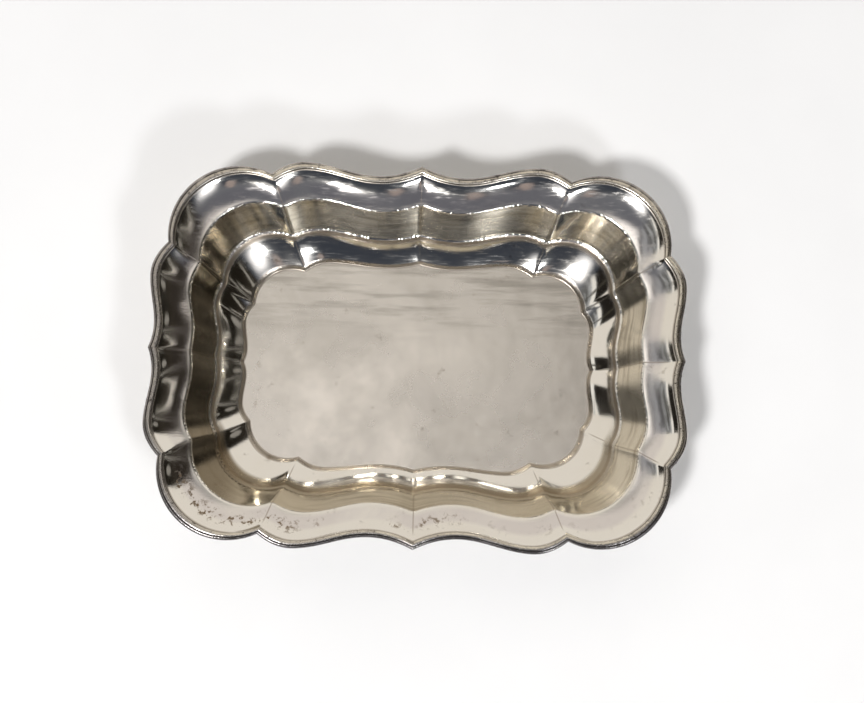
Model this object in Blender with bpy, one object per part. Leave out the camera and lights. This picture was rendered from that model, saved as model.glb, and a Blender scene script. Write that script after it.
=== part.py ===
"""Oblong lobed vanity tray in polished silver plate, modelled at real size in metres.

The tray is one struck sheet, dish_body, with a two-reed border wire laid on its lip in twelve
mitred lengths: one round each corner lobe and two along each side. The origin is the middle of
the flat underside, +X runs along the tray's length and +Z points up.

Every ring of the wall, from the rim down to the floor, has the same outline in plan. A cusp
points outwards at the middle of each side. From it the side dips, swells to a shoulder and ends
in an inward notch beside a round corner lobe. A ring is named by its inset: how far its notches
lie inside the rim's notches.
"""

import math

import bmesh
import bpy

MM = 0.001

# Plan of the rim, in millimetres: the notches at the two ends of a corner lobe.
LONG_NOTCH = (73.6, 87.7)
SHORT_NOTCH = (122.2, 52.2)
# How far each notch moves in, along X and Y, for each millimetre of inset.
LONG_NOTCH_RUN = (0.398, 1.0)
SHORT_NOTCH_RUN = (0.985, 0.556)

# Where a side dips and swells, as a share of the way from its middle cusp to its notch.
LONG_DIP, LONG_SHOULDER = 0.29, 0.78
SHORT_DIP, SHORT_SHOULDER = 0.22, 0.69

# Relief of the sides at four insets, in millimetres beyond the notch: cusp, shoulder, dip.
# The last number is a corner lobe's bulge as a share of its chord.
RELIEF = (
    (0.0, (5.8, 6.4, 0.3), (7.2, 7.8, 4.9), 0.300),
    (15.5, (3.2, 4.6, -0.8), (2.6, 4.3, 1.8), 0.282),
    (25.0, (2.2, 3.9, -0.4), (2.2, 3.7, 1.3), 0.274),
    (40.4, (5.2, 5.0, 2.9), (4.5, 4.3, 3.0), 0.252),
)

# Profile of the sheet's upper face, as inset and height in millimetres.
SHEET = 1.1
FLOOR_EDGE = (40.4, SHEET)
LIP_OUTER = (0.8, 36.4)
LIP_INNER = (3.6, 36.4)
UPPER_COVE = (6.6, 32.7)
RIDGE = (15.5, 31.6)
RISER_FOOT = (24.7, 12.7)
LEDGE = (25.8, 12.3)
LOWER_COVE = (31.3, 6.1)
STEP_TOP = (38.0, 3.2)
STEP_NOSE = (39.6, 2.6)
COVE_POINTS = 3

# Border wire: an angle section that laps the lip's edge, with two half-round reeds on top.
BORDER_WIDTH = 3.2
BORDER_TOP = 38.0
BORDER_FLANGE = 0.5
BORDER_FLANGE_DROP = 0.9
REED_HEIGHT = 0.6
REED_POINTS = 4
CLEARANCE = 0.3

# Straight runs that stand for each curved stretch of a ring.
LONG_SIDE_STEPS = 8
LOBE_STEPS = 7
SHORT_SIDE_STEPS = 6


def mix(a, b, share):
    return a + (b - a) * share


def relief_at(inset):
    """Relief of the long side, of the short side, and the lobe's bulge, at this inset."""
    held = min(max(inset, RELIEF[0][0]), RELIEF[-1][0])
    for outer, inner in zip(RELIEF, RELIEF[1:]):
        if held <= inner[0]:
            share = (held - outer[0]) / (inner[0] - outer[0])
            sides = [
                tuple(mix(a, b, share) for a, b in zip(outer[side], inner[side]))
                for side in (1, 2)
            ]
            return sides[0], sides[1], mix(outer[3], inner[3], share)


def side_relief(share, relief, dip_at, shoulder_at):
    """Height of a side beyond its notch: parabola to the dip, half a wave, parabola to the notch."""
    cusp, shoulder, dip = relief
    if share < dip_at:
        return dip + (cusp - dip) * (1 - share / dip_at) ** 2
    if share < shoulder_at:
        turn = math.pi * (share - dip_at) / (shoulder_at - dip_at)
        return mix(dip, shoulder, (1 - math.cos(turn)) / 2)
    return shoulder * (1 - ((share - shoulder_at) / (1 - shoulder_at)) ** 2)


def notches(inset):
    long_notch = [at - run * inset for at, run in zip(LONG_NOTCH, LONG_NOTCH_RUN)]
    short_notch = [at - run * inset for at, run in zip(SHORT_NOTCH, SHORT_NOTCH_RUN)]
    return long_notch, short_notch


def long_side(inset, share):
    """Point on the half side from the middle cusp of the back, share 0, to its notch, share 1."""
    notch, _ = notches(inset)
    relief, _, _ = relief_at(inset)
    return notch[0] * share, notch[1] + side_relief(share, relief, LONG_DIP, LONG_SHOULDER)


def corner_lobe(inset, share):
    """Point on the arc round the corner, from the long side's notch to the short side's."""
    start, end = notches(inset)
    _, _, bulge = relief_at(inset)
    chord = math.dist(start, end)
    rise = bulge * chord
    radius = (chord * chord / 4 + rise * rise) / (2 * rise)
    half_turn = math.asin(chord / (2 * radius))
    angle = mix(-half_turn, half_turn, share)
    along = radius * math.sin(angle)
    out = radius * math.cos(angle) - (radius - rise)
    direction = ((end[0] - start[0]) / chord, (end[1] - start[1]) / chord)
    middle = ((start[0] + end[0]) / 2, (start[1] + end[1]) / 2)
    x = middle[0] + along * direction[0] - out * direction[1]
    y = middle[1] + along * direction[1] + out * direction[0]
    return x, y


def short_side(inset, share):
    """Point on the half side from the right-hand notch, share 0, to the middle cusp, share 1."""
    _, notch = notches(inset)
    _, relief, _ = relief_at(inset)
    from_cusp = 1 - share
    x = notch[0] + side_relief(from_cusp, relief, SHORT_DIP, SHORT_SHOULDER)
    return x, notch[1] * from_cusp


PANELS = ((long_side, LONG_SIDE_STEPS), (corner_lobe, LOBE_STEPS), (short_side, SHORT_SIDE_STEPS))
QUADRANTS = ((1, 1), (1, -1), (-1, -1), (-1, 1))


def ring(inset):
    """Closed outline at this inset, clockwise seen from above, from the middle of the back."""
    quarter = [
        panel(inset, step / steps) for panel, steps in PANELS for step in range(steps)
    ]
    quarter.append(short_side(inset, 1.0))
    outline = []
    for across, along in QUADRANTS:
        points = [(x * across, y * along) for x, y in quarter]
        if across != along:
            points.reverse()
        outline += points[:-1]
    return outline


def curve(start, control, end, points):
    """Interior points of the parabola that leaves start and meets end along the control lines."""
    found = []
    for step in range(1, points + 1):
        share = step / (points + 1)
        found.append(tuple(
            mix(mix(a, b, share), mix(b, c, share), share)
            for a, b, c in zip(start, control, end)
        ))
    return found


def sheet_profile():
    """Upper face of the sheet, from the lip's edge in to the floor's edge."""
    return [
        LIP_OUTER,
        LIP_INNER,
        *curve(LIP_INNER, UPPER_COVE, RIDGE, COVE_POINTS),
        RIDGE,
        RISER_FOOT,
        LEDGE,
        *curve(LEDGE, LOWER_COVE, STEP_TOP, COVE_POINTS),
        STEP_TOP,
        STEP_NOSE,
        FLOOR_EDGE,
    ]


def offset_profile(profile, thickness):
    """The profile's lower face: each corner moved out square to both of its runs."""
    lip_start = (profile[0][0] - 1, profile[0][1])
    floor_end = (profile[-1][0] + 1, profile[-1][1])
    run = [lip_start, *profile, floor_end]
    lower = []
    for before, here, after in zip(run, run[1:], run[2:]):
        first = unit(here[0] - before[0], here[1] - before[1])
        second = unit(after[0] - here[0], after[1] - here[1])
        normal = unit(first[1] + second[1], -(first[0] + second[0]))
        reach = thickness / (normal[0] * first[1] - normal[1] * first[0])
        lower.append((here[0] + normal[0] * reach, here[1] + normal[1] * reach))
    return lower


def unit(x, y):
    length = math.hypot(x, y)
    return x / length, y / length


def silver(name, roughness):
    material = bpy.data.materials.new(name)
    material.use_nodes = True
    shader = material.node_tree.nodes["Principled BSDF"]
    shader.inputs["Base Color"].default_value = (0.86, 0.83, 0.78, 1.0)
    shader.inputs["Metallic"].default_value = 1.0
    shader.inputs["Roughness"].default_value = roughness
    return material


def add_object(name, shape, material):
    bmesh.ops.recalc_face_normals(shape, faces=shape.faces)
    mesh = bpy.data.meshes.new(name)
    shape.to_mesh(mesh)
    shape.free()
    mesh.materials.append(material)
    mesh.shade_smooth()
    mesh.set_sharp_from_angle(angle=math.radians(24))
    piece = bpy.data.objects.new(name, mesh)
    bpy.context.scene.collection.objects.link(piece)
    return piece


def add_ring(shape, outline, height):
    return [shape.verts.new((x * MM, y * MM, height * MM)) for x, y in outline]


def bridge(shape, first, second):
    """Quads between two closed rings with the same number of points."""
    for at in range(len(first)):
        after = (at + 1) % len(first)
        shape.faces.new((first[at], first[after], second[after], second[at]))


def build_dish_body():
    """The sheet's upper face from lip to floor, its lower face back to the lip, and the edge."""
    upper = sheet_profile()
    lower = offset_profile(upper, SHEET)
    stations = upper + lower[::-1]
    shape = bmesh.new()
    rings = [add_ring(shape, ring(inset), height) for inset, height in stations]
    floor_edge = len(upper) - 1
    for at, here in enumerate(rings):
        if at != floor_edge:
            bridge(shape, here, rings[(at + 1) % len(rings)])
    shape.faces.new(rings[floor_edge])
    shape.faces.new(rings[floor_edge + 1])
    return add_object("dish_body", shape, silver("dish_silver", 0.16))


def border_profile():
    """Closed section of the border wire, as inset and height, with its reeds side by side."""
    reed = BORDER_WIDTH / 2
    base = BORDER_TOP - REED_HEIGHT
    seat = LIP_OUTER[1] + CLEARANCE
    top = []
    for middle in (reed / 2, reed * 3 / 2):
        for step in range(REED_POINTS + 1):
            angle = math.pi * step / REED_POINTS
            point = (middle - reed / 2 * math.cos(angle), base + REED_HEIGHT * math.sin(angle))
            if point not in top:
                top.append(point)
    foot = seat - CLEARANCE - BORDER_FLANGE_DROP
    under = [(BORDER_WIDTH, seat), (BORDER_FLANGE, seat), (BORDER_FLANGE, foot), (0.0, foot)]
    return top + under


def build_border_section(name, panel, steps, across, along, material):
    """One length of border over one panel, its ends half a clearance short of the mitres."""
    profile = border_profile()
    length = math.dist(panel(0.0, 0.0), panel(0.0, 1.0))
    trim = CLEARANCE / 2 / length
    shape = bmesh.new()
    stations = []
    for step in range(steps + 1):
        share = mix(trim, 1 - trim, step / steps)
        outline = [panel(inset, share) for inset, _ in profile]
        stations.append([
            shape.verts.new((x * across * MM, y * along * MM, height * MM))
            for (x, y), (_, height) in zip(outline, profile)
        ])
    for here, after in zip(stations, stations[1:]):
        bridge(shape, here, after)
    shape.faces.new(stations[0])
    shape.faces.new(stations[-1])
    return add_object(name, shape, material)


def build_border():
    depth_names = {1: "back", -1: "front"}
    width_names = {1: "right", -1: "left"}
    material = silver("border_silver", 0.22)
    for across, along in QUADRANTS:
        place = f"{depth_names[along]}_{width_names[across]}"
        for kind, (panel, steps) in zip(("long", "corner", "short"), PANELS):
            build_border_section(f"border_{kind}_{place}", panel, steps, across, along, material)


def clear_scene():
    for old in list(bpy.data.objects):
        bpy.data.objects.remove(old, do_unlink=True)


clear_scene()
build_dish_body()
build_border()
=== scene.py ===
"""Looks of the oblong lobed vanity tray: a fine struck sheet, a reeded border and old silver plate.

The fine sheet and the fine border lengths follow the same plan, profile and origin as the CAD
solids they replace. Lengths are in metres unless a name or a comment says millimetres.
"""

import math

import bpy
import numpy as np
from mathutils import Euler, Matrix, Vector


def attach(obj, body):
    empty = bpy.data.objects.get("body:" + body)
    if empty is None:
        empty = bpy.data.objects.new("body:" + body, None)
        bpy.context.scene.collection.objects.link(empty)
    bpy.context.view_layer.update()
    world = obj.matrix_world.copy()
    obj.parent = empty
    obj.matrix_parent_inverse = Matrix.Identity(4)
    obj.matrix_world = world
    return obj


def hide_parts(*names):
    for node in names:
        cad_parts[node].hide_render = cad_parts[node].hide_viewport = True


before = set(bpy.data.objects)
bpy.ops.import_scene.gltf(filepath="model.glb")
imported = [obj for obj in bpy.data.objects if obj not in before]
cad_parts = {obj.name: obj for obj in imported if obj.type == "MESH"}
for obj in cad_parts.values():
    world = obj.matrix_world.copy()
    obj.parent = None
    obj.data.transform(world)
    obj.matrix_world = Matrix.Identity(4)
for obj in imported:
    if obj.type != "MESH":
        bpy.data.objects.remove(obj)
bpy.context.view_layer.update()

MM = 0.001
BODY = "root"
DISH = "dish_body"
BORDER = sorted(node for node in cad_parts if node.startswith("border_"))

# Plan of the rim, in millimetres, as in the CAD part.
LONG_NOTCH = np.array((73.6, 87.7))
SHORT_NOTCH = np.array((122.2, 52.2))
LONG_NOTCH_RUN = np.array((0.398, 1.0))
SHORT_NOTCH_RUN = np.array((0.985, 0.556))
LONG_DIP, LONG_SHOULDER = 0.29, 0.78
SHORT_DIP, SHORT_SHOULDER = 0.22, 0.69
RELIEF_INSETS = (0.0, 15.5, 25.0, 40.4)
LONG_RELIEF = ((5.8, 3.2, 2.2, 5.2), (6.4, 4.6, 3.9, 5.0), (0.3, -0.8, -0.4, 2.9))
SHORT_RELIEF = ((7.2, 2.6, 2.2, 4.5), (7.8, 4.3, 3.7, 4.3), (4.9, 1.8, 1.3, 3.0))
LOBE_BULGE = (0.300, 0.282, 0.274, 0.252)

# Profile of the sheet's upper face, as inset and height in millimetres.
SHEET = 1.1
LIP_OUTER, LIP_INNER = (0.5, 36.4), (3.4, 36.4)
UPPER_COVE, RIDGE = (6.6, 32.7), (15.5, 31.6)
RISER_FOOT, LEDGE = (24.7, 12.7), (25.8, 12.3)
LOWER_COVE, STEP_TOP, STEP_NOSE = (31.3, 6.1), (38.0, 3.2), (39.6, 2.6)
FLOOR_EDGE = (40.4, SHEET)

# Border section, in millimetres.
BORDER_WIDTH, BORDER_TOP = 3.2, 38.0
SEAT = 36.4
FLANGE_FOOT = 35.3
REED_EDGE, BEAD = 0.9, 1.0
SEAM = 0.05

# Fineness of the sheet: points of a long side, a lobe and a short side, and rings of each face.
DISH_STEPS = (72, 64, 56)
UPPER_STATIONS, LOWER_STATIONS = 170, 80
# Rounding of the twelve creases: reach along the ring at each of these insets, in millimetres.
CREASE_INSETS = (0, 4, 9, 15, 25, 32, 40.4)
CREASE_REACH = (0.6, 1.2, 3.0, 2.2, 1.8, 2.4, 0.8)
# Points on either side of a crease that its rounding may move.
CREASE_POINTS = 40
# Spacing of a profile's even points, and how widely its bends are rounded, in millimetres.
PROFILE_SPACING, UPPER_BLUR, LOWER_BLUR = 0.05, 0.28, 0.3
# Attribute values inside the floor, beyond every ring's inset and crease.
FLOOR_INSET, FLOOR_CREASE = 60.0, 30.0


def mix(a, b, share):
    return a + (b - a) * share


# ---------------------------------------------------------------- plan of the tray


def side_wave(share, relief, dip_at, shoulder_at):
    """Height of a half side beyond its notch, for columns of shares and rows of insets."""
    cusp, shoulder, dip = (values[:, None] for values in relief)
    share = share[None, :]
    near_cusp = dip + (cusp - dip) * (1 - share / dip_at) ** 2
    turn = np.pi * (share - dip_at) / (shoulder_at - dip_at)
    swell = mix(dip, shoulder, (1 - np.cos(turn)) / 2)
    near_notch = shoulder * (1 - ((share - shoulder_at) / (1 - shoulder_at)) ** 2)
    return np.where(share < dip_at, near_cusp, np.where(share < shoulder_at, swell, near_notch))


def relief_at(insets, table):
    return [np.interp(insets, RELIEF_INSETS, row) for row in table]


def long_side(insets, share):
    x = (LONG_NOTCH[0] - LONG_NOTCH_RUN[0] * insets)[:, None] * share[None, :]
    base = (LONG_NOTCH[1] - LONG_NOTCH_RUN[1] * insets)[:, None]
    y = base + side_wave(share, relief_at(insets, LONG_RELIEF), LONG_DIP, LONG_SHOULDER)
    return np.stack((x, y), axis=-1)


def corner_lobe(insets, share):
    start = LONG_NOTCH - insets[:, None] * LONG_NOTCH_RUN
    end = SHORT_NOTCH - insets[:, None] * SHORT_NOTCH_RUN
    chord = np.linalg.norm(end - start, axis=1)[:, None]
    rise = np.interp(insets, RELIEF_INSETS, LOBE_BULGE)[:, None] * chord
    radius = (chord**2 / 4 + rise**2) / (2 * rise)
    angle = np.arcsin(chord / (2 * radius)) * (2 * share[None, :] - 1)
    along = radius * np.sin(angle)
    out = radius * np.cos(angle) - (radius - rise)
    direction = (end - start) / chord
    middle = (start + end) / 2
    x = middle[:, :1] + along * direction[:, :1] - out * direction[:, 1:]
    y = middle[:, 1:] + along * direction[:, 1:] + out * direction[:, :1]
    return np.stack((x, y), axis=-1)


def short_side(insets, share):
    from_cusp = 1 - share
    base = (SHORT_NOTCH[0] - SHORT_NOTCH_RUN[0] * insets)[:, None]
    x = base + side_wave(from_cusp, relief_at(insets, SHORT_RELIEF), SHORT_DIP, SHORT_SHOULDER)
    y = (SHORT_NOTCH[1] - SHORT_NOTCH_RUN[1] * insets)[:, None] * from_cusp[None, :]
    return np.stack((x, y), axis=-1)


def crowded(steps, crowding=0.86):
    """Shares from 0 to 1 that lie closer together towards both ends."""
    t = np.linspace(0.0, 1.0, steps + 1)
    return t - crowding * np.sin(2 * np.pi * t) / (2 * np.pi)


def full_ring(insets, steps):
    """Closed outlines (inset, point, xy) and the index of each outline's twelve corners."""
    quarter = [
        panel(insets, crowded(count))[:, :-1]
        for panel, count in zip((long_side, corner_lobe, short_side), steps)
    ]
    quarter.append(short_side(insets, np.ones(1)))
    quarter = np.concatenate(quarter, axis=1)
    outline = []
    for across, along in ((1, 1), (1, -1), (-1, -1), (-1, 1)):
        part = quarter * (across, along)
        if across != along:
            part = part[:, ::-1]
        outline.append(part[:, :-1])
    marks = np.cumsum((0, *steps, *steps[::-1], *steps, *steps[::-1]))[:-1]
    return np.concatenate(outline, axis=1), marks


def rounded_corners(outline, marks, reach):
    """Each corner replaced by a parabola that starts and ends reach away from it."""
    made = outline.copy()
    count = outline.shape[1]
    for row, ring in enumerate(outline):
        width = reach[row]
        for mark in marks:
            around = (np.arange(-CREASE_POINTS, CREASE_POINTS + 1) + mark) % count
            points = ring[around]
            steps = np.linalg.norm(np.diff(points, axis=0), axis=1)
            length = np.concatenate(((0,), np.cumsum(steps)))
            length -= length[CREASE_POINTS]
            before = [np.interp(-width, length, points[:, axis]) for axis in (0, 1)]
            after = [np.interp(width, length, points[:, axis]) for axis in (0, 1)]
            inside = np.abs(length) < width
            share = ((length[inside] / width + 1) / 2)[:, None]
            start, corner, end = np.array(before), points[CREASE_POINTS], np.array(after)
            bend = (1 - share) ** 2 * start + 2 * share * (1 - share) * corner + share**2 * end
            made[row, around[inside]] = bend
    return made


# ---------------------------------------------------------------- profile of the sheet


def bezier(start, control, end, points):
    share = np.linspace(0.0, 1.0, points)[:, None]
    start, control, end = map(np.array, (start, control, end))
    return (1 - share) ** 2 * start + 2 * share * (1 - share) * control + share**2 * end


def straight(start, end, points):
    return mix(np.array(start), np.array(end), np.linspace(0.0, 1.0, points)[:, None])


def smoothed(line, spacing, blur):
    """The line resampled at a spacing and rounded by a bell-shaped average of width blur."""
    steps = np.linalg.norm(np.diff(line, axis=0), axis=1)
    length = np.concatenate(((0,), np.cumsum(steps)))
    even = np.arange(0.0, length[-1], spacing)
    points = np.stack([np.interp(even, length, line[:, axis]) for axis in (0, 1)], axis=1)
    half = int(3 * blur / spacing)
    kernel = np.exp(-0.5 * (np.arange(-half, half + 1) * spacing / blur) ** 2)
    kernel /= kernel.sum()
    head = 2 * points[0] - points[half:0:-1]
    tail = 2 * points[-1] - points[-2:-half - 2:-1]
    padded = np.concatenate((head, points, tail))
    return np.stack([np.convolve(padded[:, axis], kernel, "valid") for axis in (0, 1)], axis=1)


def chosen_stations(line, count, turn_weight=1.3):
    """Points of the line, closer together where it bends."""
    run = np.diff(line, axis=0)
    steps = np.linalg.norm(run, axis=1)
    heading = np.unwrap(np.arctan2(run[:, 1], run[:, 0]))
    turning = np.abs(np.diff(heading, prepend=heading[0]))
    cost = np.concatenate(((0,), np.cumsum(steps + turn_weight * turning)))
    wanted = np.linspace(0, cost[-1], count)
    return np.stack([np.interp(wanted, cost, line[:, axis]) for axis in (0, 1)], axis=1)


def upper_profile():
    line = np.concatenate((
        straight(LIP_OUTER, LIP_INNER, 20),
        bezier(LIP_INNER, UPPER_COVE, RIDGE, 80),
        straight(RIDGE, RISER_FOOT, 60),
        straight(RISER_FOOT, LEDGE, 12),
        bezier(LEDGE, LOWER_COVE, STEP_TOP, 80),
        bezier(STEP_TOP, STEP_NOSE, FLOOR_EDGE, 20),
        straight(FLOOR_EDGE, (41.2, SHEET), 10),
    ))
    return smoothed(line, PROFILE_SPACING, UPPER_BLUR)


def lower_profile(upper, thickness):
    """The upper profile moved square to itself by the sheet's thickness."""
    run = np.gradient(upper, axis=0)
    run /= np.linalg.norm(run, axis=1)[:, None]
    normal = np.stack((run[:, 1], -run[:, 0]), axis=1)
    lower = upper + normal * thickness
    lower[:, 1] = np.maximum(lower[:, 1], 0.0)
    keep = [0]
    for at in range(1, len(lower)):
        if np.dot(lower[at] - lower[keep[-1]], run[at]) > 0.01:
            keep.append(at)
    return smoothed(lower[keep], PROFILE_SPACING, LOWER_BLUR)


# ---------------------------------------------------------------- meshes


def new_mesh_object(name, vertices, faces, material, attributes):
    mesh = bpy.data.meshes.new(name)
    mesh.from_pydata(vertices.tolist(), [], faces)
    mesh.validate()
    for label, values in attributes:
        layer = mesh.attributes.new(label, "FLOAT", "POINT")
        layer.data.foreach_set("value", np.asarray(values, dtype=np.float32))
    mesh.materials.append(material)
    mesh.shade_smooth()
    piece = bpy.data.objects.new(name, mesh)
    bpy.context.scene.collection.objects.link(piece)
    return piece


def grid_faces(rows, columns, closed_rows=False):
    faces = []
    for row in range(rows if closed_rows else rows - 1):
        here = row * columns
        there = ((row + 1) % rows) * columns
        for at in range(columns):
            after = (at + 1) % columns
            faces.append((here + at, here + after, there + after, there + at))
    return faces


def crease_distance(outline, marks):
    """Distance along each outline to the nearest of its twelve corners, in millimetres."""
    steps = np.linalg.norm(np.roll(outline, -1, axis=1) - outline, axis=2)
    length = np.concatenate((np.zeros((len(outline), 1)), np.cumsum(steps, axis=1)), axis=1)
    total = length[:, -1:]
    place = length[:, :-1]
    gap = np.abs(place[:, :, None] - place[:, None, marks])
    return np.minimum(gap, total[:, :, None] - gap).min(axis=2), place


def build_dish(material):
    upper_line = upper_profile()
    upper = chosen_stations(upper_line, UPPER_STATIONS)
    lower = chosen_stations(lower_profile(upper_line, SHEET), LOWER_STATIONS)
    stations = np.concatenate((upper, lower[::-1]))
    insets, heights = stations[:, 0], stations[:, 1]
    outline, marks = full_ring(insets, DISH_STEPS)
    outline = rounded_corners(outline, marks, np.interp(insets, CREASE_INSETS, CREASE_REACH))
    crease, place = crease_distance(outline, marks)
    rows, columns = outline.shape[:2]
    vertices = np.empty((rows, columns, 3))
    vertices[:, :, :2] = outline
    vertices[:, :, 2] = heights[:, None]
    faces = grid_faces(rows, columns, closed_rows=True)
    floor_row = len(upper) - 1
    del faces[floor_row * columns:(floor_row + 1) * columns]
    vertices = vertices.reshape(-1, 3)
    floor_in, floor_faces = floor_grid(vertices, floor_row * columns, columns, len(vertices))
    vertices = np.concatenate((vertices, floor_in))
    faces += floor_faces
    base_in, base_faces = floor_grid(vertices, (floor_row + 1) * columns, columns, len(vertices))
    vertices = np.concatenate((vertices, base_in))
    faces += [face[::-1] for face in base_faces]
    extra = len(vertices) - rows * columns
    inset = np.concatenate((np.repeat(insets, columns), np.full(extra, FLOOR_INSET)))
    near = np.concatenate((crease.reshape(-1), np.full(extra, FLOOR_CREASE)))
    girth = np.concatenate((place.reshape(-1), np.zeros(extra)))
    return new_mesh_object(
        "fine_dish", vertices * MM, faces, material,
        (("inset", inset), ("crease", near), ("girth", girth)),
    )


def floor_grid(vertices, first, columns, total):
    """Rings that shrink from an edge row to one middle vertex, all at the edge's height."""
    edge = vertices[first:first + columns]
    shares = (0.985, 0.95, 0.88, 0.75, 0.55, 0.3)
    rings = [edge * (share, share, 1.0) for share in shares]
    faces = []
    outer = list(range(first, first + columns))
    for at in range(len(rings)):
        inner = list(range(total + at * columns, total + (at + 1) * columns))
        for k in range(columns):
            after = (k + 1) % columns
            faces.append((outer[k], outer[after], inner[after], inner[k]))
        outer = inner
    middle = total + len(rings) * columns
    for k in range(columns):
        faces.append((outer[k], outer[(k + 1) % columns], middle))
    centre = np.array([[0.0, 0.0, edge[0][2]]])
    return np.concatenate((*rings, centre)), faces


def border_section():
    """Closed section of the border: a rolled outer edge, a fine groove, a broad bead, the flange."""
    edge = REED_EDGE
    points = [(0.0, FLANGE_FOOT)]
    for angle in np.linspace(0.0, math.pi / 2, 10):
        points.append((edge * (1 - math.cos(angle)), BORDER_TOP - 1.2 + 1.1 * math.sin(angle)))
    points += [(edge + 0.14, BORDER_TOP - 0.3), (edge + 0.26, BORDER_TOP - 0.34)]
    for angle in np.linspace(math.pi, 0.12, 15)[1:]:
        across = edge + 0.26 + BEAD * (1 + math.cos(angle))
        points.append((across, BORDER_TOP - 0.62 + 0.62 * math.sin(angle) ** 0.8))
    points += [(BORDER_WIDTH, SEAT + 0.1), (BORDER_WIDTH, SEAT), (0.5, SEAT), (0.5, FLANGE_FOOT)]
    return np.array(points)


def build_border_length(node, panel, steps, across, along, material):
    section = border_section()
    share = crowded(steps, 0.6)
    length = float(np.linalg.norm(np.diff(panel(np.zeros(1), share)[0], axis=0), axis=1).sum())
    trim = SEAM / length
    share = mix(trim, 1 - trim, share)
    plan = panel(section[:, 0], share)
    count = len(section)
    vertices = np.empty((len(share), count, 3))
    vertices[:, :, 0] = plan[:, :, 0].T * across
    vertices[:, :, 1] = plan[:, :, 1].T * along
    vertices[:, :, 2] = section[:, 1][None, :]
    faces = grid_faces(len(share), count)
    faces.append(tuple(range(count)))
    last = (len(share) - 1) * count
    faces.append(tuple(range(last + count - 1, last - 1, -1)))
    if across * along > 0:
        faces = [face[::-1] for face in faces]
    inset = np.tile(section[:, 0], len(share))
    piece = new_mesh_object(
        node.replace("border_", "fine_border_"), vertices.reshape(-1, 3) * MM, faces, material,
        (("inset", inset),),
    )
    piece.data.set_sharp_from_angle(angle=math.radians(50))
    return piece


def build_border(material):
    panels = {"long": (long_side, 110), "corner": (corner_lobe, 96), "short": (short_side, 80)}
    made = {}
    for node in BORDER:
        _, kind, depth, width = node.split("_")
        panel, steps = panels[kind]
        across = 1 if width == "right" else -1
        along = 1 if depth == "back" else -1
        made[node] = build_border_length(node, panel, steps, across, along, material)
    return made


# ---------------------------------------------------------------- node trees


class Nodes:
    """Short calls for building one node tree."""

    def __init__(self, tree):
        self.tree = tree

    def add(self, kind, **settings):
        node = self.tree.nodes.new(kind)
        for key, value in settings.items():
            setattr(node, key, value)
        return node

    def link(self, source, target):
        self.tree.links.new(source, target)

    def feed(self, socket, value):
        if hasattr(value, "is_linked"):
            self.link(value, socket)
        else:
            socket.default_value = value

    def math(self, operation, a, b=0.0, clamp=False):
        node = self.add("ShaderNodeMath", operation=operation, use_clamp=clamp)
        self.feed(node.inputs[0], a)
        self.feed(node.inputs[1], b)
        return node.outputs[0]

    def product(self, first, *others):
        for other in others:
            first = self.math("MULTIPLY", first, other)
        return first

    def greatest(self, first, *others):
        for other in others:
            first = self.math("MAXIMUM", first, other)
        return first

    def ramp(self, value, low, high, out_low=0.0, out_high=1.0):
        """Smooth step from out_low where value is low to out_high where it is high."""
        node = self.add("ShaderNodeMapRange", interpolation_type="SMOOTHSTEP")
        self.feed(node.inputs["Value"], value)
        node.inputs["From Min"].default_value = low
        node.inputs["From Max"].default_value = high
        node.inputs["To Min"].default_value = out_low
        node.inputs["To Max"].default_value = out_high
        return node.outputs["Result"]

    def band(self, value, rise_from, rise_to, fall_from, fall_to):
        """One between rise_to and fall_to, zero outside rise_from and fall_from."""
        return self.product(
            self.ramp(value, rise_from, rise_to), self.ramp(value, fall_from, fall_to)
        )

    def noise(self, vector, scale, detail=4.0, roughness=0.55, distortion=0.0):
        node = self.add("ShaderNodeTexNoise")
        self.link(vector, node.inputs["Vector"])
        node.inputs["Scale"].default_value = scale
        node.inputs["Detail"].default_value = detail
        node.inputs["Roughness"].default_value = roughness
        node.inputs["Distortion"].default_value = distortion
        return node.outputs["Fac"]

    def cells(self, vector, scale):
        node = self.add("ShaderNodeTexVoronoi", feature="SMOOTH_F1")
        self.link(vector, node.inputs["Vector"])
        node.inputs["Scale"].default_value = scale
        node.inputs["Smoothness"].default_value = 0.6
        return node.outputs["Distance"]

    def stretched(self, vector, scale, turn=0.0):
        node = self.add("ShaderNodeMapping")
        self.link(vector, node.inputs["Vector"])
        node.inputs["Rotation"].default_value = (0.0, 0.0, turn)
        node.inputs["Scale"].default_value = scale
        return node.outputs["Vector"]

    def axis(self, vector, number):
        node = self.add("ShaderNodeSeparateXYZ")
        self.link(vector, node.inputs[0])
        return node.outputs[number]

    def mix_colour(self, share, first, second):
        node = self.add("ShaderNodeMix", data_type="RGBA")
        self.feed(node.inputs[0], share)
        self.feed(node.inputs[6], first)
        self.feed(node.inputs[7], second)
        return node.outputs[2]


# ---------------------------------------------------------------- materials


SILVER = (0.90, 0.87, 0.82, 1.0)
WARM_SILVER = (0.80, 0.74, 0.63, 1.0)
FLOOR_SILVER = (0.85, 0.80, 0.735, 1.0)
WORN_SILVER = (0.56, 0.51, 0.45, 1.0)
OLIVE_FILM = (0.55, 0.50, 0.385, 1.0)
PALE_OLIVE_PAINTED_SHEEN = (0.78, 0.75, 0.66, 1.0)
BROWN_FILM_AND_PAINTED_SHADE = (0.24, 0.20, 0.135, 1.0)
GREY_BLOOM = (0.70, 0.65, 0.65, 1.0)
GREY_RUB = (0.48, 0.45, 0.40, 1.0)
TARNISH_AND_PAINTED_SHADE = (0.20, 0.14, 0.08, 1.0)
SOOT = (0.035, 0.028, 0.022, 1.0)
GUNMETAL_AND_PAINTED_SHADE = (0.34, 0.32, 0.32, 1.0)
DARK_EDGE_PAINTED_SHADE = (0.11, 0.105, 0.11, 1.0)
SWEEP_SHADE = (0.895, 0.90, 0.91, 1.0)
SWEEP_WHITE = (0.92, 0.925, 0.935, 1.0)


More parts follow.
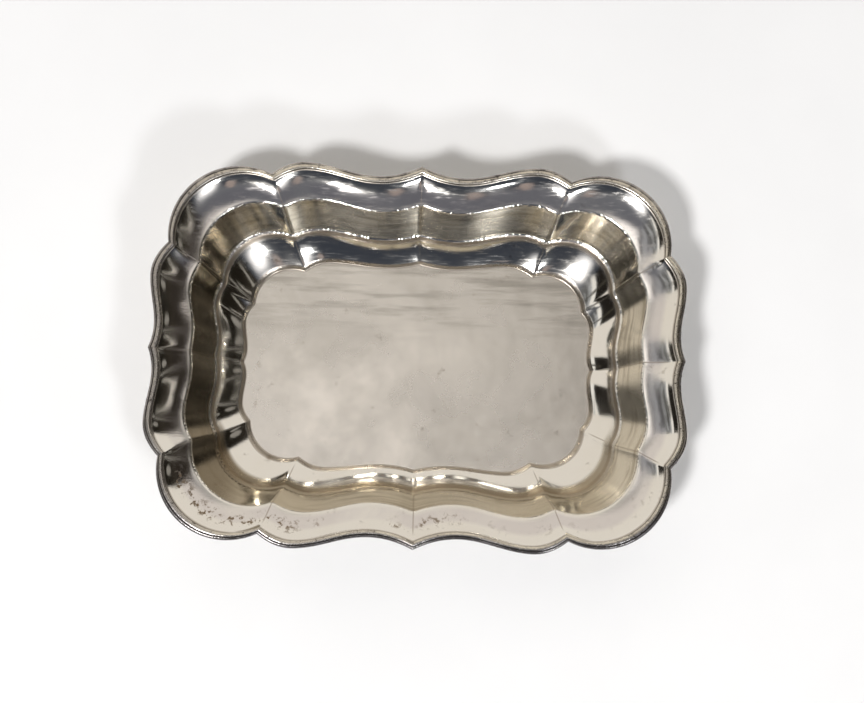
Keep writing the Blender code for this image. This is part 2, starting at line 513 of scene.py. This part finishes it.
class Surface(Nodes):
    """Node tree of one material, with the place on the object that its masks start from."""

    def __init__(self, name):
        self.material = bpy.data.materials.new(name)
        self.material.use_nodes = True
        super().__init__(self.material.node_tree)
        self.shader = self.tree.nodes["Principled BSDF"]
        self.where = self.add("ShaderNodeTexCoord").outputs["Object"]
        self.across = self.axis(self.where, 0)
        self.along = self.axis(self.where, 1)

    def attribute(self, name):
        return self.add("ShaderNodeAttribute", attribute_name=name).outputs["Fac"]

    def bump(self, height, distance, strength=1.0, normal=None):
        node = self.add("ShaderNodeBump")
        node.inputs["Strength"].default_value = strength
        node.inputs["Distance"].default_value = distance
        self.link(height, node.inputs["Height"])
        if normal is not None:
            self.link(normal, node.inputs["Normal"])
        return node.outputs["Normal"]

    def finish_metal(self, colour, roughness, normal):
        self.link(colour, self.shader.inputs["Base Color"])
        self.link(roughness, self.shader.inputs["Roughness"])
        self.link(normal, self.shader.inputs["Normal"])
        self.shader.inputs["Metallic"].default_value = 1.0
        return self.material


class DishSilver(Surface):
    """Old plate on the sheet. Its zones are bands of the mesh's inset, in millimetres."""

    def __init__(self):
        super().__init__("old_silver_plate")
        self.inset = self.attribute("inset")
        self.floor = self.ramp(self.inset, FLOOR_EDGE[0] - 0.1, FLOOR_EDGE[0] + 0.6)
        self.smudge = self.noise(self.where, 28.0, 5.0, 0.6)
        self.cloud = self.noise(self.where, 16.0, 5.0, 0.65, 0.6)
        # Painted shade: the front of the lower cove, just inside the ledge, darkened to dull its
        # highlights.
        self.low_front_painted_shade = self.product(
            self.zone(LEDGE[0], -1.8, -0.8, 4.7, 2.4), self.ramp(self.along, -0.025, -0.045)
        )

    def zone(self, middle, rise_from, rise_to, fall_from, fall_to):
        """A band of insets, its ends measured from the middle one."""
        ends = (middle + offset for offset in (rise_from, rise_to, fall_from, fall_to))
        return self.band(self.inset, *ends)

    def filmed_walls_with_painted_light(self):
        """Olive film on the riser, in streaks, with painted reflection: pale at back and right, brown
        at left.
        """
        riser = self.band(
            self.inset, RIDGE[0] - 0.1, RIDGE[0] + 0.9, RISER_FOOT[0] + 0.3, RISER_FOOT[0] - 0.3
        )
        # Painted reflection: the film lighter at the back and right, and dark brown on the left.
        pale = self.greatest(
            self.ramp(self.along, 0.035, 0.06), self.ramp(self.across, 0.085, 0.10)
        )
        film = self.mix_colour(pale, OLIVE_FILM, PALE_OLIVE_PAINTED_SHEEN)
        film = self.mix_colour(self.ramp(self.across, -0.076, -0.094), film, BROWN_FILM_AND_PAINTED_SHADE)
        # The low front band takes the same film as painted shade.
        filmed = self.product(self.greatest(riser, self.low_front_painted_shade), 0.92)
        colour = self.mix_colour(filmed, SILVER, film)
        wall_place = self.add("ShaderNodeCombineXYZ")
        self.link(self.product(self.inset, 0.7), wall_place.inputs[0])
        self.link(self.product(self.attribute("girth"), 0.03), wall_place.inputs[1])
        streaks = self.ramp(self.noise(wall_place.outputs[0], 1.0, 3.0), 0.45, 0.70, 0.0, 0.5)
        colour = self.mix_colour(self.product(riser, streaks), colour, BROWN_FILM_AND_PAINTED_SHADE)
        yellowed = self.product(self.ramp(self.smudge, 0.35, 0.75), 0.25)
        return self.mix_colour(yellowed, colour, WARM_SILVER)

    def bloomed_cove(self, colour):
        """Grey bloom in the upper cove."""
        cove = self.zone(RIDGE[0], -8.5, -6.0, -0.3, -2.5)
        bloom = self.product(cove, self.ramp(self.cloud, 0.35, 0.6, 0.2, 0.8), 0.8)
        return self.mix_colour(bloom, colour, GREY_BLOOM)

    def worn_floor(self, colour):
        """Mottled satin floor with smudges rubbed along its back."""
        colour = self.mix_colour(self.floor, colour, FLOOR_SILVER)
        mottle = self.product(self.floor, self.ramp(self.cloud, 0.42, 0.66, 0.0, 0.30))
        colour = self.mix_colour(mottle, colour, GREY_RUB)
        strokes = self.noise(self.stretched(self.where, (16.0, 130.0, 1.0)), 1.0, 4.0, 0.6)
        at_back = self.band(self.along, 0.006, 0.036, 0.060, 0.050)
        rubbed = self.product(self.ramp(strokes, 0.44, 0.66), at_back, self.floor, 0.75)
        return self.mix_colour(rubbed, colour, GREY_RUB)

    def front_spots(self):
        """Spots in clusters in the front cove, mostly left of its middle."""
        specks = self.ramp(self.noise(self.where, 300.0, 5.0, 0.75), 0.53, 0.58)
        clusters = self.ramp(self.noise(self.where, 42.0, 3.0, 0.6), 0.43, 0.56)
        to_left = self.ramp(self.across, 0.075, -0.02, 0.25, 1.0)
        cove = self.zone(RIDGE[0], -9.9, -8.1, -2.1, -6.1)
        return self.product(specks, clusters, to_left, cove, self.ramp(self.along, -0.052, -0.062))

    def dirt(self):
        """Dirt at the lip, the ledge, the floor's step and the creases, the spots, and painted shade
        on the low front.
        """
        lip = self.product(
            self.ramp(self.inset, LIP_INNER[0] + 0.5, LIP_INNER[0]),
            self.ramp(self.smudge, 0.3, 0.6, 0.5, 1.0),
        )
        step = self.band(
            self.inset, STEP_TOP[0] + 0.2, STEP_TOP[0] + 1.0, FLOOR_EDGE[0] + 0.9, FLOOR_EDGE[0] + 0.2
        )
        seam = self.product(
            self.ramp(self.attribute("crease"), 0.55, 0.10),
            self.band(self.inset, 5.0, 8.0, STEP_TOP[0], STEP_TOP[0] - 4.0),
        )
        return self.greatest(
            self.product(lip, 0.6),
            self.product(step, 0.6),
            self.product(self.zone(LEDGE[0], -0.4, 0.1, 2.8, 0.8), 0.75),
            self.product(self.low_front_painted_shade, 0.62),
            self.product(seam, 0.4),
            self.product(self.front_spots(), 0.95),
        )

    def roughness(self, dirt):
        """Polished walls, brushed at the back, and a satin floor. Dirt dulls both."""
        strokes = self.stretched(self.where, (110.0, 700.0, 700.0), 0.6)
        brushed = self.ramp(self.noise(strokes, 1.0, 4.0, 0.65), 0.48, 0.70)
        hazy = self.product(brushed, self.ramp(self.along, 0.035, 0.060), 0.10)
        walls = self.math("ADD", self.ramp(self.smudge, 0.35, 0.75, 0.08, 0.17), hazy)
        mixed = self.add("ShaderNodeMix", data_type="FLOAT")
        self.link(self.floor, mixed.inputs[0])
        self.link(walls, mixed.inputs[2])
        self.link(self.ramp(self.smudge, 0.3, 0.7, 0.20, 0.30), mixed.inputs[3])
        return self.math("ADD", mixed.outputs[0], self.product(dirt, 0.3), clamp=True)

    def relief(self):
        """Hand-raised waves, dents on the worn edges, polishing scratches and grain."""
        waves = self.bump(self.noise(self.where, 48.0, 2.0, 0.4), 0.0002)
        edges = self.greatest(
            self.band(self.inset, RISER_FOOT[0] - 0.8, RISER_FOOT[0], LEDGE[0] + 0.5, LEDGE[0]),
            self.zone(RIDGE[0], -0.5, -0.2, 0.5, 0.2),
            self.product(self.zone(STEP_NOSE[0], -1.0, -0.4, 1.0, 0.5), 0.5),
        )
        dents = self.bump(self.product(self.cells(self.where, 850.0), edges), 0.00016, 1.0, waves)
        hairs = self.stretched(self.where, (60.0, 1500.0, 1500.0))
        scratches = self.noise(hairs, 1.0, 3.0, 0.7, 0.4)
        scratches = self.product(scratches, self.ramp(self.inset, 39.0, 41.0, 0.7, 0.08))
        scratched = self.bump(scratches, 0.000016, 0.8, dents)
        grain = self.noise(self.where, 420.0, 3.0)
        grain = self.product(grain, self.ramp(self.inset, 39.0, 41.0, 1.0, 0.1))
        return self.bump(grain, 0.000008, 0.7, scratched)


def dish_material():
    made = DishSilver()
    colour = made.worn_floor(made.bloomed_cove(made.filmed_walls_with_painted_light()))
    dirt = made.dirt()
    # Dirt, and the painted shade of the low front band, darken the colour towards tarnish.
    colour = made.mix_colour(dirt, colour, TARNISH_AND_PAINTED_SHADE)
    marks = made.ramp(made.noise(made.where, 120.0, 3.0, 0.6), 0.64, 0.80)
    colour = made.mix_colour(made.product(marks, 0.5), colour, TARNISH_AND_PAINTED_SHADE)
    return made.finish_metal(colour, made.roughness(dirt), made.relief())


def border_material():
    """Pitted silver, darker outside the groove; painted shade darkens it most in front and dulls the
    left.
    """
    made = Surface("worn_and_shaded_border_silver")
    inset = made.attribute("inset")
    patches = made.noise(made.where, 90.0, 4.0, 0.65)
    # Painted shade: the border darker towards the front and on the left.
    front = made.ramp(made.along, -0.055, -0.085)
    left = made.ramp(made.across, -0.088, -0.118)
    outer = made.ramp(made.math("SUBTRACT", inset, made.product(front, 0.75)), 1.15, 0.85)
    colour = made.mix_colour(made.ramp(patches, 0.35, 0.7), WARM_SILVER, WORN_SILVER)
    darkened = made.product(outer, made.ramp(patches, 0.3, 0.7, 0.6, 0.95))
    colour = made.mix_colour(darkened, colour, GUNMETAL_AND_PAINTED_SHADE)
    colour = made.mix_colour(made.product(left, 0.6), colour, GUNMETAL_AND_PAINTED_SHADE)
    # Painted shade: a dark outer face along the front.
    colour = made.mix_colour(made.product(outer, front, 0.72), colour, DARK_EDGE_PAINTED_SHADE)

    groove = made.band(inset, 0.8, 1.0, 1.4, 1.2)
    inner_line = made.ramp(inset, 2.9, 3.15)
    pits = made.ramp(made.noise(made.where, 620.0, 4.0, 0.7), 0.54, 0.64)
    dirt = made.greatest(
        made.product(groove, made.ramp(patches, 0.3, 0.6, 0.5, 0.95)),
        made.product(inner_line, 0.8),
        made.product(pits, made.ramp(patches, 0.40, 0.6, 0.25, 0.9)),
    )
    colour = made.mix_colour(dirt, colour, SOOT)
    rough = made.math("ADD", made.ramp(patches, 0.3, 0.7, 0.16, 0.30), made.product(dirt, 0.35))
    return made.finish_metal(
        colour, rough, made.bump(made.noise(made.where, 420.0, 4.0), 0.00012, 0.8)
    )


def floor_material():
    made = Surface("pale_sweep")
    shade = made.ramp(made.noise(made.where, 9.0, 3.0), 0.3, 0.7)
    colour = made.mix_colour(shade, SWEEP_SHADE, SWEEP_WHITE)
    made.link(colour, made.shader.inputs["Base Color"])
    made.shader.inputs["Roughness"].default_value = 0.75
    made.shader.inputs["Specular IOR Level"].default_value = 0.2
    return made.material


# ---------------------------------------------------------------- studio


def add_floor():
    bpy.ops.mesh.primitive_plane_add(size=4.0, location=(0, 0, 0))
    sweep = bpy.context.active_object
    sweep.name = "studio_floor"
    sweep.data.materials.append(floor_material())


def aim(obj, target):
    obj.rotation_euler = (Vector(target) - obj.location).to_track_quat("-Z", "Y").to_euler()


def add_light(name, location, size, power, colour):
    data = bpy.data.lights.new(name, "AREA")
    data.shape = "DISK"
    data.size = size
    data.energy = power
    data.color = colour
    lamp = bpy.data.objects.new(name, data)
    lamp.location = location
    aim(lamp, (0, 0, 0.02))
    bpy.context.scene.collection.objects.link(lamp)


class Room(Nodes):
    """The room that the silver mirrors, painted by direction: x right, y back, z up."""

    # Share of a direction's height by which the room leans back, so it turns about the viewer.
    LEAN = 0.17

    def __init__(self, tree):
        super().__init__(tree)
        self.direction = self.add("ShaderNodeTexCoord").outputs["Generated"]
        self.x, self.y, self.z = (self.axis(self.direction, number) for number in range(3))
        leaned = self.product(self.greatest(self.z, 0.0), self.LEAN)
        level_y = self.math("SUBTRACT", self.y, leaned)
        self.to_right = self.math("ARCTAN2", level_y, self.x)
        self.to_left = self.math("ARCTAN2", level_y, self.product(self.x, -1.0))
        self.to_front = self.math("ARCTAN2", self.x, self.product(level_y, -1.0))
        self.front = self.ramp(self.y, 0.08, -0.03)

    def room_noise(self, scale, detail):
        return self.noise(self.direction, scale, detail, 0.5)

    def off(self, value, middle):
        return self.math("ABSOLUTE", self.math("SUBTRACT", value, middle))

    def from_oval(self, turn, middle, high, reach, rise):
        """How far a direction lies from an oval's middle, one at its edge."""
        first = self.math("DIVIDE", self.math("SUBTRACT", turn, middle), reach)
        second = self.math("DIVIDE", self.math("SUBTRACT", self.z, high), rise)
        squares = self.math(
            "ADD", self.math("POWER", first, 2.0), self.math("POWER", second, 2.0)
        )
        return self.math("SQRT", squares)

    def sweep_behind(self):
        """Cream sweep, brightest above on the left, with a dull patch just behind the zenith."""
        sides = self.ramp(self.x, -0.10, 0.10)
        above = self.mix_colour(sides, (1.32, 1.27, 1.22, 1.0), (0.90, 0.86, 0.81, 1.0))
        above = self.mix_colour(self.ramp(self.y, 0.165, 0.225), above, (0.30, 0.29, 0.27, 1.0))
        cloudy = self.ramp(self.room_noise(5.0, 4.0), 0.35, 0.65, 0.0, 0.25)
        above = self.mix_colour(cloudy, above, (0.50, 0.49, 0.47, 1.0))
        return self.mix_colour(self.ramp(self.z, 0.94, 0.975), (0.76, 0.72, 0.66, 1.0), above)

    def dim_front(self, colour):
        """Dim room, lighter overhead, with a tall soft light on either hand and a pink patch."""
        colour = self.mix_colour(self.front, colour, (0.040, 0.046, 0.060, 1.0))
        overhead = self.product(self.front, self.ramp(self.z, 0.80, 0.96))
        colour = self.mix_colour(overhead, colour, (0.15, 0.155, 0.175, 1.0))
        for middle in (-0.65, 0.64):
            width = self.ramp(self.off(self.to_front, middle), 0.31, 0.03)
            strip = self.product(width, self.band(self.z, 0.40, 0.70, 0.96, 0.78))
            colour = self.mix_colour(strip, colour, (1.7, 1.7, 1.75, 1.0))
        ragged = self.product(self.room_noise(14.0, 3.0), 0.7)
        pink = self.math("ADD", self.from_oval(self.to_front, 0.20, 0.84, 0.10, 0.12), ragged)
        pink = self.product(self.ramp(pink, 1.35, 1.15), self.front)
        return self.mix_colour(pink, colour, (0.34, 0.28, 0.26, 1.0))

    def left_hand(self, colour):
        """A striped grey wall over a bright edge over black furniture, crossed by a post."""
        place = self.product(
            self.band(self.to_left, -0.58, -0.52, 0.09, 0.05), self.ramp(self.x, -0.10, -0.15)
        )
        stripes = self.ramp(self.room_noise(6.5, 3.0), 0.44, 0.52)
        level = self.mix_colour(stripes, (0.10, 0.10, 0.10, 1.0), (0.36, 0.37, 0.38, 1.0))
        level = self.mix_colour(self.ramp(self.z, 0.72, 0.70), level, (0.85, 0.83, 0.79, 1.0))
        level = self.mix_colour(self.ramp(self.z, 0.62, 0.60), level, (0.014, 0.012, 0.010, 1.0))
        post = self.product(
            self.ramp(self.off(self.to_left, -0.20), 0.035, 0.025), self.ramp(self.z, 0.9, 0.8)
        )
        level = self.mix_colour(post, level, (0.05, 0.045, 0.035, 1.0))
        return self.mix_colour(place, colour, level)

    def right_hand(self, colour):
        """A dark brown room with two pale shades, a thin hoop and a thin upright."""
        place = self.product(
            self.band(self.to_right, -0.62, -0.55, 0.50, 0.45), self.ramp(self.x, 0.085, 0.13)
        )
        room = self.mix_colour(
            self.ramp(self.z, 0.55, 0.85), (0.012, 0.010, 0.007, 1.0), (0.026, 0.021, 0.016, 1.0)
        )
        for middle, high, reach, rise in ((0.20, 0.55, 0.075, 0.16), (0.30, 0.18, 0.04, 0.06)):
            shade = self.from_oval(self.to_right, middle, high, reach, rise)
            room = self.mix_colour(self.ramp(shade, 1.0, 0.85), room, (0.27, 0.255, 0.23, 1.0))
        hoop = self.off(self.from_oval(self.to_right, -0.27, 0.50, 0.20, 0.42), 1.0)
        hoop = self.product(self.ramp(hoop, 0.09, 0.04), self.ramp(self.z, 0.42, 0.60))
        room = self.mix_colour(hoop, room, (0.60, 0.57, 0.51, 1.0))
        upright = self.ramp(self.off(self.to_right, 0.03), 0.018, 0.010)
        room = self.mix_colour(upright, room, (0.34, 0.32, 0.29, 1.0))
        return self.mix_colour(place, colour, room)


def add_world():
    world = bpy.data.worlds.new("room")
    bpy.context.scene.world = world
    world.use_nodes = True
    room = Room(world.node_tree)
    colour = room.right_hand(room.left_hand(room.dim_front(room.sweep_behind())))
    background = room.tree.nodes["Background"]
    room.link(colour, background.inputs["Color"])
    background.inputs["Strength"].default_value = 1.0


def add_camera():
    """Nearly overhead from the front, at the distance of a long portrait lens."""
    data = bpy.data.cameras.new("view")
    data.sensor_width = 36.0
    data.lens = 70.83
    camera = bpy.data.objects.new("view", data)
    camera.location = (-0.00533, -0.13727, 0.84205)
    camera.rotation_euler = Euler((math.radians(9.764), math.radians(-1.11), math.radians(1.375)))
    bpy.context.scene.collection.objects.link(camera)
    bpy.context.scene.camera = camera


dish = build_dish(dish_material())
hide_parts(DISH)
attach(dish, BODY)
for node, piece in build_border(border_material()).items():
    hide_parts(node)
    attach(piece, BODY)

bpy.context.scene.view_settings.view_transform = "Standard"
add_floor()
add_world()
add_light("key_front_left", (-0.98, -1.26, 2.42), 0.435, 53.0, (1.0, 0.985, 0.97))
add_light("fill_front_right", (1.12, -1.98, 1.86), 0.40, 20.0, (0.96, 0.98, 1.0))
add_camera()

bpy.context.view_layer.update()
